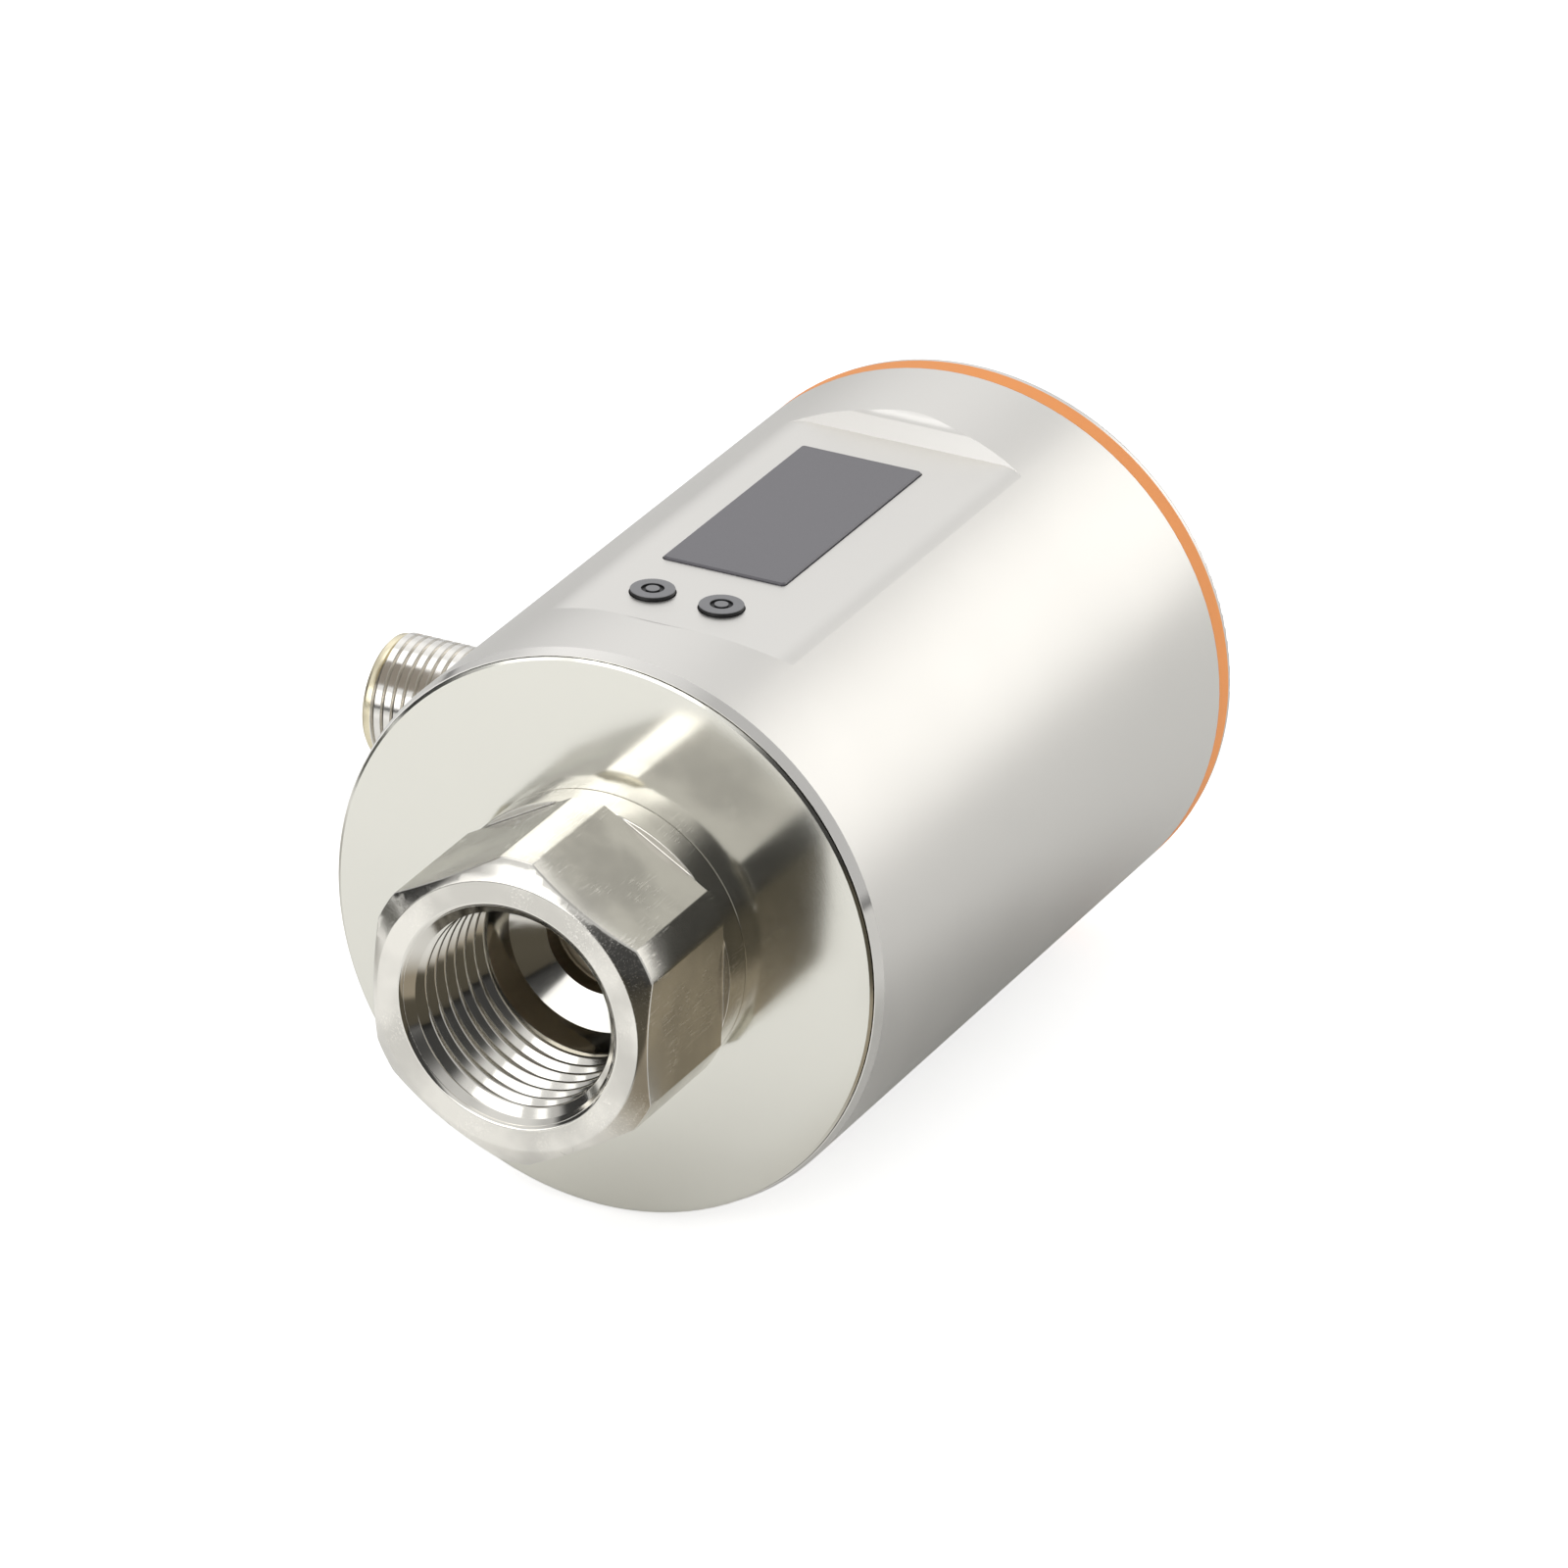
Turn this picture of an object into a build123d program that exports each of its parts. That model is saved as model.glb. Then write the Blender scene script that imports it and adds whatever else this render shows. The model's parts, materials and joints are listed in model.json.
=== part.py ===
from build123d import *
import os

# Compact electromagnetic flow meter with a display, in millimetres.
# The pipe axis is X. The origin is the centre of the inlet fitting's face,
# +X runs with the flow, +Z points out of the display and +Y along the cable connector.

os.makedirs("parts", exist_ok=True)

# Body
body_diameter = 54.0
body_length = 74.0
fitting_reach = 18.0
shell_wall = 1.5

# Front rim of the shell, which stands round the front plate
rim_wall = 0.4
rim_setback = 0.3
rim_bevel = 1.2
rim_bevel_drop = 0.3
rim_gap = 0.05

# End plates
plate_rim = 3.0
plate_web = 3.0
plate_hub_radius = 15.5
plate_hub_length = 5.0
plate_edge = 0.25
plate_edge_length = 0.14
spigot_length = 3.5
spigot_wall = 2.9
spigot_gap = 0.08
cap_rim = 0.9
cap_rim_step = 0.1
cap_edge = 0.5
accent_width = 2.1
accent_gap = 0.05

# Pipe fittings, for a half inch pipe thread
hex_across_flats = 27.0
hex_corner_radius = 14.75
hex_face_radius = 12.84
hex_chamfer = 1.25
collar_radius = 14.2
collar_length = 3.1
thread_radius = 10.48
thread_mouth = 0.26
thread_depth = 13.2
relief_length = 0.4
runout_radius = 9.2
runout_length = 2.9
seat_radius = 8.55
seat_cone = 1.3
shank_radius = 12.0
shank_gap = 0.05
tube_socket_depth = 6.0
tube_socket_floor = 2.0
retainer_radius = 14.5
retainer_groove = 0.7
retainer_thickness = 1.2
retainer_gap = 0.05
retainer_opening = 5.0

# Measuring tube
flow_radius = 5.0
flow_step = 0.5
tube_radius = 8.5
tube_socket_gap = 0.1
tube_end_gap = 0.3
tube_boss_radius = 4.2
tube_boss_reach = 11.5
probe_boss_reach = 11.0

# Round cord seals
cord_radius = 0.9
cord_gap = 0.02
groove_side = 0.15

# Electrodes and temperature probe
electrode_tip_radius = 1.2
electrode_tip_gap = 0.05
electrode_collar_radius = 2.6
electrode_pocket_floor = 7.5
electrode_seal_cord = 0.6
electrode_collar_length = 1.0
electrode_stem_radius = 0.8
electrode_stem_reach = 13.5
electrode_nut_gap = 0.05
probe_distance = 20.0
probe_tip_radius = 1.0
probe_body_radius = 2.2
probe_body_reach = 13.0

# Magnet system
coil_flange_radius = 8.1
coil_hub_radius = 4.0
coil_core_radius = 3.0
coil_flange = 0.6
coil_gap = 0.05
shoe_wall = 0.8
shoe_gap = 0.1
shoe_half_length = 9.0
shoe_half_angle = 48.0
yoke_wall = 1.0
yoke_length = 20.0

# Inner frame and boards
frame_wall = 1.1
frame_gap = 0.1
frame_length = 22.0
electronics_space = 7.7
rail_width = 2.5
rail_height = 2.5
rail_spacing = 17.5
board_length = 45.0
display_board_width = 21.0
display_board_thickness = 1.0
main_board_width = 24.0
main_board_thickness = 1.6
screw_inset = 2.6
screw_radius = 0.8
screw_head_radius = 1.5
screw_head = 0.7
screw_length = 3.0

# Display panel, a flat formed into the top of the shell
panel_depth = 2.3
panel_start = 11.9
panel_end = 59.0
panel_near_run = 1.3
panel_near_rise = 1.3
panel_near_soft = 2.6
panel_far_run = 0.9
panel_far_rise = 1.6
panel_far_soft = 2.4
panel_soft_rise = 0.15
panel_side_round = 5.0
panel_backing_margin = 1.6
panel_end_margin = 1.4

# Display window
window_length = 27.95
window_width = 12.2
window_along = 39.725
window_aside = 1.7
window_proud = 0.25
window_corner = 0.4
window_flange = 1.5
window_flange_thickness = 0.8
window_gap = 0.1
gasket_thickness = 0.3
module_gap = 0.15

# Push buttons and their switches
button_along = 19.0
button_spacing = 6.85
button_middle = 1.835
button_radius = 2.05
button_proud = 0.4
button_gap = 0.1
button_flange_radius = 2.7
button_flange_thickness = 0.7
button_flange_clearance = 0.25
button_ring_radius = 0.84
button_ring_width = 0.43
button_ring_depth = 0.2
button_travel = 0.35
switch_size = 4.0
switch_height = 1.2
plunger_radius = 1.0
plunger_gap = 0.08
plunger_length = 1.1

# Cable connector, a male M12
connector_along = 35.2
connector_reach = 13.3
connector_radius = 6.0
connector_bore = 4.4
connector_neck = 5.6
connector_neck_end = 0.2
connector_bevel = 0.8
connector_bevel_length = 1.1
connector_depth = 8.0
connector_flange_radius = 8.0
connector_flange = 1.9
connector_boss_radius = 9.5
connector_boss_depth = 3.0
connector_seat_gap = 0.05
connector_seal_cord = 0.6
connector_hole_gap = 0.1
connector_insert_gap = 0.05
connector_key_width = 1.2
connector_key_height = 0.7
pin_radius = 0.5
pin_circle = 2.5
pin_count = 4
pin_setback = 1.2
pin_tail = 1.0

# Components on the main board, each with its place along the pipe, its side and its height
processor_along = -9.0
processor_side = 10.0
processor_height = 1.4
measuring_chip_along = 2.5
measuring_chip_side = 7.0
measuring_chip_height = 1.2
inductor_along = 12.5
inductor_side = 6.0
inductor_height = 2.8

# How near a place an edge must be to be picked
pick_tolerance = 0.01

# Places along the pipe axis
body_front = fitting_reach
body_rear = body_front + body_length
overall_length = body_rear + fitting_reach
middle = overall_length / 2
shell_front = body_front + rim_setback
shell_rear = body_rear - cap_rim - accent_width
seat_front = body_front + plate_rim
window_x = body_front + window_along
button_x = body_front + button_along
connector_x = body_front + connector_along
panel_front = body_front + panel_start
panel_rear = body_front + panel_end
panel_middle = (panel_front + panel_rear) / 2

# Radii and heights
body_radius = body_diameter / 2
inner_radius = body_radius - shell_wall
rim_bore = body_radius - rim_wall
spigot_radius = inner_radius - spigot_gap
plate_bore = shank_radius + shank_gap
socket_radius = tube_radius + tube_socket_gap
bore_radius = flow_radius + flow_step
yoke_radius = inner_radius - electronics_space
yoke_bore = yoke_radius - yoke_wall
frame_bore = yoke_radius + frame_gap
frame_radius = frame_bore + frame_wall
panel_height = body_radius - panel_depth
panel_underside = panel_height - shell_wall
window_underside = panel_underside - gasket_thickness
window_bottom = window_underside - window_flange_thickness
board_top = frame_radius + display_board_thickness
connector_tip = body_radius + connector_reach
connector_boss_face = inner_radius - connector_boss_depth
panel_half_width = (body_radius**2 - panel_height**2) ** 0.5
button_places = {
    "left": button_middle + button_spacing / 2,
    "right": button_middle - button_spacing / 2,
}


def axis_section(face, inward):
    """The half plane of a piece turned about the pipe axis: x runs inward from a face, y is the radius."""
    return Plane(origin=(face, 0, 0), x_dir=(inward, 0, 0), z_dir=(0, -inward, 0))


def axis_plane(face, inward):
    """A plane square to the pipe axis, with its normal running inward and its x along +Z."""
    return Plane(origin=(face, 0, 0), x_dir=(0, 0, 1), z_dir=(inward, 0, 0))


def save(builder, name):
    """Label a finished piece and write its file."""
    builder.part.label = name
    export_step(builder.part, f"parts/{name}.step")


def cord_seal(name, centre, direction, ring_radius, section_radius):
    """A round cord ring about an axis."""
    with BuildPart(Plane(origin=centre, z_dir=direction)) as seal:
        Torus(ring_radius, section_radius)
    save(seal, name)


# Housing shell: a tube with a bevelled front rim, a formed flat for the display and a boss for the connector
with BuildPart() as housing_shell:
    with BuildSketch(Plane.XZ):
        with BuildLine():
            Polyline(
                (panel_front - panel_near_run - panel_near_soft / 2 - panel_end_margin, body_radius),
                (panel_front - panel_end_margin, panel_underside),
                (panel_rear + panel_end_margin, panel_underside),
                (panel_rear + panel_far_run + panel_far_soft / 2 + panel_end_margin, body_radius),
                close=True,
            )
        make_face()
    extrude(amount=panel_half_width + panel_backing_margin, both=True)
    with BuildSketch(Plane.XZ.offset(-connector_boss_face)):
        with Locations((connector_x, 0)):
            Circle(connector_boss_radius)
    extrude(amount=-(body_radius - connector_boss_face))
    with BuildSketch(Plane.YZ):
        Circle(body_radius - shell_wall / 2)
    extrude(amount=overall_length, mode=Mode.INTERSECT)
    with BuildSketch(Plane.XZ):
        with BuildLine():
            Polyline(
                (shell_front, -rim_bore),
                (shell_front, rim_bevel_drop - body_radius),
                (shell_front + rim_bevel, -body_radius),
                (shell_rear, -body_radius),
                (shell_rear, -inner_radius),
                (seat_front, -inner_radius),
                (seat_front, -rim_bore),
                close=True,
            )
        make_face()
    revolve(axis=Axis.X)
    with BuildSketch(Plane.XZ.offset(body_radius)):
        with BuildLine():
            near_wall = (panel_front - panel_near_run, panel_height + panel_near_rise)
            near_top = (near_wall[0] - panel_near_soft, body_radius + panel_soft_rise)
            far_wall = (panel_rear + panel_far_run, panel_height + panel_far_rise)
            far_top = (far_wall[0] + panel_far_soft, body_radius + panel_soft_rise)
            Spline(near_top, near_wall, tangents=[(1, -0.1), (panel_near_run, -panel_near_rise)])
            Polyline(near_wall, (panel_front, panel_height), (panel_rear, panel_height), far_wall)
            Spline(far_wall, far_top, tangents=[(panel_far_run, panel_far_rise), (1, 0.1)])
            Polyline(
                far_top,
                (far_top[0], body_radius + shell_wall),
                (near_top[0], body_radius + shell_wall),
                near_top,
            )
        make_face()
    extrude(amount=-body_diameter, mode=Mode.SUBTRACT)
    panel_top = (panel_height - pick_tolerance, body_radius + pick_tolerance)
    panel_edges = housing_shell.edges().filter_by_position(Axis.Z, *panel_top)
    panel_sides = panel_edges.filter_by(Axis.X).group_by(SortBy.LENGTH)[-1]
    fillet(panel_sides, panel_side_round)
    with BuildSketch(Plane.XY.offset(panel_underside - shell_wall)):
        with Locations((window_x, window_aside)):
            RectangleRounded(
                window_length + 2 * window_gap,
                window_width + 2 * window_gap,
                window_corner + window_gap,
            )
        with Locations(*[(button_x, y) for y in button_places.values()]):
            Circle(button_radius + button_gap)
    extrude(amount=body_radius, mode=Mode.SUBTRACT)
    with BuildSketch(Plane.XZ):
        with Locations((connector_x, 0)):
            Circle(connector_radius + connector_hole_gap)
    extrude(amount=-body_radius, mode=Mode.SUBTRACT)
save(housing_shell, "housing_shell")


def end_plate(name, face, inward, rim_radius, rim_length, shell_seat, edge, rounded):
    """A turned end plate with a rim, a sealed spigot in the shell and a hub round the fitting."""
    spigot_end = shell_seat + spigot_length
    groove_middle = shell_seat + spigot_length / 2
    groove_half = cord_radius + groove_side
    groove_floor = inner_radius - 2 * cord_radius - 2 * cord_gap
    with BuildPart() as plate:
        with BuildSketch(axis_section(face, inward)):
            with BuildLine():
                Polyline(
                    (0, plate_bore),
                    (0, rim_radius),
                    (rim_length, rim_radius),
                    (rim_length, spigot_radius),
                    (groove_middle - groove_half, spigot_radius),
                    (groove_middle - groove_half, groove_floor),
                    (groove_middle + groove_half, groove_floor),
                    (groove_middle + groove_half, spigot_radius),
                    (spigot_end, spigot_radius),
                    (spigot_end, spigot_radius - spigot_wall),
                    (plate_web, spigot_radius - spigot_wall),
                    (plate_web, plate_hub_radius),
                    (plate_hub_length, plate_hub_radius),
                    (plate_hub_length, plate_bore),
                    close=True,
                )
            make_face()
        revolve(axis=Axis.X)
        outer_face = plate.faces().filter_by(GeomType.PLANE).sort_by(Axis.X)[0 if inward > 0 else -1]
        face_edge = outer_face.edges().sort_by(SortBy.LENGTH)[-1]
        if rounded:
            fillet(face_edge, edge)
        else:
            chamfer(face_edge, edge, plate_edge_length, reference=outer_face)
    save(plate, name)
    seal_radius = inner_radius - cord_radius - cord_gap
    seal_centre = (face + inward * groove_middle, 0, 0)
    cord_seal(name + "_seal", seal_centre, (1, 0, 0), seal_radius, cord_radius)


end_plate("front_plate", body_front, 1, rim_bore - rim_gap, plate_rim, plate_rim, plate_edge, False)
end_plate(
    "rear_cap",
    body_rear,
    -1,
    body_radius - cap_rim_step,
    cap_rim,
    cap_rim + accent_width,
    cap_edge,
    True,
)

# Accent ring: a coloured plastic band between the shell and the rear cap
with BuildPart() as accent_ring:
    with BuildSketch(Plane.YZ.offset(shell_rear)):
        Circle(body_radius)
        Circle(spigot_radius + accent_gap, mode=Mode.SUBTRACT)
    extrude(amount=accent_width)
save(accent_ring, "accent_ring")


def pipe_fitting(side, face, inward):
    """A hexagon fitting with a stepped bore, its retaining ring and the cord seal round the tube's end."""
    hex_length = fitting_reach - collar_length
    relief_end = thread_depth + relief_length
    cone_start = relief_end + runout_length
    socket_floor = fitting_reach + tube_socket_floor
    shank_end = socket_floor + tube_socket_depth
    ring_start = fitting_reach + plate_hub_length
    groove_radius = shank_radius - retainer_groove
    with BuildPart() as fitting:
        with BuildSketch(axis_plane(face, inward)):
            RegularPolygon(hex_across_flats / 2, 6, major_radius=False)
        extrude(amount=hex_length)
        with BuildSketch(axis_section(face, inward)):
            with BuildLine():
                Polyline(
                    (0, 0),
                    (0, hex_face_radius),
                    (hex_chamfer, hex_corner_radius),
                    (hex_length, hex_corner_radius),
                    (hex_length, 0),
                    close=True,
                )
            make_face()
        revolve(axis=Axis.X, mode=Mode.INTERSECT)
        with BuildSketch(axis_section(face, inward)):
            with BuildLine():
                Polyline(
                    (hex_length, 0),
                    (hex_length, collar_radius),
                    (fitting_reach, collar_radius),
                    (fitting_reach, shank_radius),
                    (ring_start, shank_radius),
                    (ring_start, groove_radius),
                    (ring_start + retainer_thickness + retainer_gap, groove_radius),
                    (ring_start + retainer_thickness + retainer_gap, shank_radius),
                    (shank_end, shank_radius),
                    (shank_end, 0),
                    close=True,
                )
            make_face()
        revolve(axis=Axis.X)
        with BuildSketch(axis_section(face, inward)):
            with BuildLine():
                Polyline(
                    (0, 0),
                    (0, thread_radius + thread_mouth),
                    (thread_mouth, thread_radius),
                    (relief_end, thread_radius),
                    (relief_end, runout_radius),
                    (cone_start, seat_radius),
                    (cone_start + seat_cone, bore_radius),
                    (socket_floor, bore_radius),
                    (socket_floor, socket_radius),
                    (shank_end, socket_radius),
                    (shank_end, 0),
                    close=True,
                )
            make_face()
        revolve(axis=Axis.X, mode=Mode.SUBTRACT)
    save(fitting, f"{side}_fitting")

    with BuildPart() as retainer:
        with BuildSketch(axis_plane(face + inward * ring_start, inward)):
            Circle(retainer_radius)
            Circle(groove_radius + retainer_gap, mode=Mode.SUBTRACT)
            with Locations((-retainer_radius, 0)):
                Rectangle(retainer_radius, retainer_opening, mode=Mode.SUBTRACT)
        extrude(amount=retainer_thickness)
    save(retainer, f"{side}_retaining_ring")

    seal_centre = (face + inward * (socket_floor + tube_socket_depth / 2), 0, 0)
    cord_seal(
        f"{side}_tube_seal",
        seal_centre,
        (1, 0, 0),
        socket_radius - cord_radius - cord_gap,
        cord_radius,
    )


pipe_fitting("inlet", 0, 1)
pipe_fitting("outlet", overall_length, -1)

# Measuring tube: the moulded liner that the liquid runs through
tube_start = body_front + tube_socket_floor + tube_end_gap
tube_half = middle - tube_start
tube_groove = middle - body_front - tube_socket_floor - tube_socket_depth / 2
probe_x = middle - probe_distance
with BuildPart() as measuring_tube:
    with BuildSketch(Plane.YZ.offset(tube_start)):
        Circle(tube_radius)
    extrude(amount=2 * tube_half)
    with BuildSketch(Plane.XZ):
        with Locations((middle, 0)):
            Circle(tube_boss_radius)
    extrude(amount=tube_boss_reach, both=True)
    with BuildSketch(Plane.XY):
        with Locations((probe_x, 0)):
            Circle(tube_boss_radius)
    extrude(amount=probe_boss_reach)
    with BuildSketch(Plane.YZ):
        Circle(flow_radius)
    extrude(amount=overall_length, mode=Mode.SUBTRACT)
    for side in (-1, 1):
        with BuildSketch(Plane.YZ.offset(middle + side * tube_groove - cord_radius - groove_side)):
            Circle(tube_radius)
            Circle(socket_radius - 2 * cord_radius - 2 * cord_gap, mode=Mode.SUBTRACT)
        extrude(amount=2 * (cord_radius + groove_side), mode=Mode.SUBTRACT)
    with BuildSketch(Plane.XZ):
        with Locations((middle, 0)):
            Circle(electrode_tip_radius + electrode_tip_gap)
    extrude(amount=tube_boss_reach, both=True, mode=Mode.SUBTRACT)
    for side in (-1, 1):
        with BuildSketch(Plane.XZ.offset(side * electrode_pocket_floor)):
            with Locations((middle, 0)):
                Circle(electrode_collar_radius + electrode_tip_gap)
        extrude(amount=side * tube_boss_reach, mode=Mode.SUBTRACT)
    with BuildSketch(Plane.XY):
        with Locations((probe_x, 0)):
            Circle(probe_tip_radius + electrode_tip_gap)
    extrude(amount=probe_boss_reach, mode=Mode.SUBTRACT)
    with BuildSketch(Plane.XY.offset(electrode_pocket_floor)):
        with Locations((probe_x, 0)):
            Circle(probe_body_radius + electrode_tip_gap)
    extrude(amount=probe_boss_reach, mode=Mode.SUBTRACT)
save(measuring_tube, "measuring_tube")


def electrode(side, outward):
    """A stepped measuring electrode at one side of the tube, with its cord seal and its ring nut."""
    section = Plane(origin=(middle, 0, 0), x_dir=(0, outward, 0), z_dir=(0, 0, 1))
    spin = Axis((middle, 0, 0), (0, 1, 0))
    seal_thickness = 2 * electrode_seal_cord + 2 * cord_gap
    collar_start = electrode_pocket_floor + seal_thickness
    collar_end = collar_start + electrode_collar_length
    with BuildPart() as pin:
        with BuildSketch(section):
            with BuildLine():
                Polyline(
                    (flow_radius, 0),
                    (flow_radius, electrode_tip_radius),
                    (collar_start, electrode_tip_radius),
                    (collar_start, electrode_collar_radius),
                    (collar_end, electrode_collar_radius),
                    (collar_end, electrode_stem_radius),
                    (electrode_stem_reach, electrode_stem_radius),
                    (electrode_stem_reach, 0),
                    close=True,
                )
            make_face()
        revolve(axis=spin)
    save(pin, f"electrode_{side}")

    with BuildPart() as nut:
        with BuildSketch(Plane(origin=(middle, outward * collar_end, 0), z_dir=(0, outward, 0))):
            Circle(electrode_collar_radius)
            Circle(electrode_stem_radius + electrode_nut_gap, mode=Mode.SUBTRACT)
        extrude(amount=tube_boss_reach - collar_end)
    save(nut, f"electrode_nut_{side}")

    cord_seal(
        f"electrode_seal_{side}",
        (middle, outward * (electrode_pocket_floor + seal_thickness / 2), 0),
        (0, 1, 0),
        electrode_tip_radius + electrode_seal_cord + cord_gap,
        electrode_seal_cord,
    )


electrode("left", 1)
electrode("right", -1)

# Temperature probe: a stepped sleeve in a boss on top of the tube, upstream of the coils
with BuildPart() as temperature_probe:
    with BuildSketch(Plane.XY.offset(flow_radius)):
        with Locations((probe_x, 0)):
            Circle(probe_tip_radius)
    extrude(amount=electrode_pocket_floor - flow_radius)
    with BuildSketch(Plane.XY.offset(electrode_pocket_floor)):
        with Locations((probe_x, 0)):
            Circle(probe_body_radius)
    extrude(amount=probe_body_reach - electrode_pocket_floor)
save(temperature_probe, "temperature_probe")


def coil_set(side, outward):
    """A pole with its saddle shoe on the tube, the bobbin on the pole and the winding on the bobbin."""
    shoe_bore = tube_radius + shoe_gap
    shoe_radius = shoe_bore + shoe_wall
    bobbin_start = shoe_radius + coil_gap
    coil_height = (yoke_bore**2 - coil_flange_radius**2) ** 0.5 - coil_gap - bobbin_start
    winding_start = bobbin_start + coil_flange
    winding_height = coil_height - 2 * coil_flange
    up = Plane(origin=(middle, 0, 0), x_dir=(1, 0, 0), z_dir=(0, 0, outward))
    with BuildPart() as pole:
        with BuildSketch(up):
            Circle(coil_core_radius)
        extrude(amount=yoke_bore)
        with BuildSketch(Plane.YZ.offset(middle - shoe_half_length)):
            with BuildLine():
                start = 90 * outward - shoe_half_angle
                arc_outer = CenterArc((0, 0), shoe_radius, start, 2 * shoe_half_angle)
                arc_inner = CenterArc((0, 0), shoe_bore, start, 2 * shoe_half_angle)
                Line(arc_outer @ 0, arc_inner @ 0)
                Line(arc_outer @ 1, arc_inner @ 1)
            make_face()
        extrude(amount=2 * shoe_half_length)
        with BuildSketch(Plane.YZ):
            Circle(shoe_bore)
        extrude(amount=overall_length, mode=Mode.SUBTRACT)
        with BuildSketch(Plane.YZ):
            Circle(yoke_bore)
        extrude(amount=overall_length, mode=Mode.INTERSECT)
    save(pole, f"pole_{side}")

    with BuildPart() as bobbin:
        for height in (bobbin_start, bobbin_start + coil_height - coil_flange):
            with BuildSketch(up.offset(height)):
                Circle(coil_flange_radius)
            extrude(amount=coil_flange)
        with BuildSketch(up.offset(bobbin_start)):
            Circle(coil_hub_radius)
        extrude(amount=coil_height)
        with BuildSketch(up.offset(bobbin_start)):
            Circle(coil_core_radius + coil_gap)
        extrude(amount=coil_height, mode=Mode.SUBTRACT)
    save(bobbin, f"coil_bobbin_{side}")

    with BuildPart() as winding:
        with BuildSketch(up.offset(winding_start + coil_gap)):
            Circle(coil_flange_radius - coil_flange / 2)
            Circle(coil_hub_radius + coil_gap, mode=Mode.SUBTRACT)
        extrude(amount=winding_height - 2 * coil_gap)
    save(winding, f"coil_winding_{side}")


coil_set("upper", 1)
coil_set("lower", -1)

# Magnetic yoke: the steel band that closes the magnet's circuit
with BuildPart() as magnetic_yoke:
    with BuildSketch(Plane.YZ.offset(middle - yoke_length / 2)):
        Circle(yoke_radius)
        Circle(yoke_bore, mode=Mode.SUBTRACT)
    extrude(amount=yoke_length)
save(magnetic_yoke, "magnetic_yoke")

# Inner frame: a plastic sleeve on the yoke, with rails for the display board above and the main board below
rail_offset = rail_spacing / 2
with BuildPart() as inner_frame:
    with BuildSketch(Plane.YZ.offset(middle - frame_length / 2)):
        Circle(frame_radius)
        Rectangle(rail_spacing + rail_width, 2 * frame_radius)
        Circle(frame_bore, mode=Mode.SUBTRACT)
    extrude(amount=frame_length)
    for level in (frame_radius - rail_height / 2, -frame_radius + rail_height / 2):
        with BuildSketch(Plane.YZ.offset(panel_middle - board_length / 2)):
            with Locations((-rail_offset, level), (rail_offset, level)):
                Rectangle(rail_width, rail_height)
        extrude(amount=board_length)
    with BuildSketch(Plane.YZ):
        Circle(frame_bore)
    extrude(amount=overall_length, mode=Mode.SUBTRACT)
    with BuildSketch(Plane.XY.offset(-frame_radius)):
        with Locations((panel_middle, 0)):
            with GridLocations(board_length - 2 * screw_inset, rail_spacing, 2, 2):
                Circle(screw_radius + shank_gap)
    extrude(amount=2 * frame_radius, mode=Mode.SUBTRACT)
save(inner_frame, "inner_frame")


def board(name, bottom, width, thickness):
    """A circuit board on the frame's rails, with its screw holes."""
    with BuildPart() as plate:
        with BuildSketch(Plane.XY.offset(bottom)):
            with Locations((panel_middle, 0)):
                RectangleRounded(board_length, width, rail_width / 2)
                with GridLocations(board_length - 2 * screw_inset, rail_spacing, 2, 2):
                    Circle(screw_radius + shank_gap, mode=Mode.SUBTRACT)
        extrude(amount=thickness)
    save(plate, name)


def board_screws(name, head_seat, outward):
    """Four pan head screws, one at each corner of a board, as separate solids."""
    with BuildPart() as screws:
        with BuildSketch(Plane.XY.offset(head_seat)):
            with Locations((panel_middle, 0)):
                with GridLocations(board_length - 2 * screw_inset, rail_spacing, 2, 2):
                    Circle(screw_head_radius)
        extrude(amount=outward * screw_head)
        with BuildSketch(Plane.XY.offset(head_seat)):
            with Locations((panel_middle, 0)):
                with GridLocations(board_length - 2 * screw_inset, rail_spacing, 2, 2):
                    Circle(screw_radius)
        extrude(amount=-outward * screw_length)
    save(screws, name)


board("display_board", frame_radius, display_board_width, display_board_thickness)
board("main_board", -frame_radius - main_board_thickness, main_board_width, main_board_thickness)
board_screws("display_board_screws", board_top, 1)
board_screws("main_board_screws", -frame_radius - main_board_thickness, -1)


def chip(name, along, side, height):
    """A square component on the outer face of the main board."""
    with BuildPart() as package:
        with BuildSketch(Plane.XY.offset(-frame_radius - main_board_thickness)):
            with Locations((middle + along, 0)):
                Rectangle(side, side)
        extrude(amount=-height)
        chamfer(package.faces().sort_by(Axis.Z)[0].edges(), height / 6)
    save(package, name)


chip("processor_chip", processor_along, processor_side, processor_height)
chip("measuring_chip", measuring_chip_along, measuring_chip_side, measuring_chip_height)
chip("power_inductor", inductor_along, inductor_side, inductor_height)

# Display module: the lit glass panel under the window
with BuildPart() as display_module:
    with BuildSketch(Plane.XY.offset(board_top)):
        with Locations((window_x, window_aside)):
            Rectangle(window_length, window_width)
    extrude(amount=window_bottom - board_top - module_gap)
save(display_module, "display_module")

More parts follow.
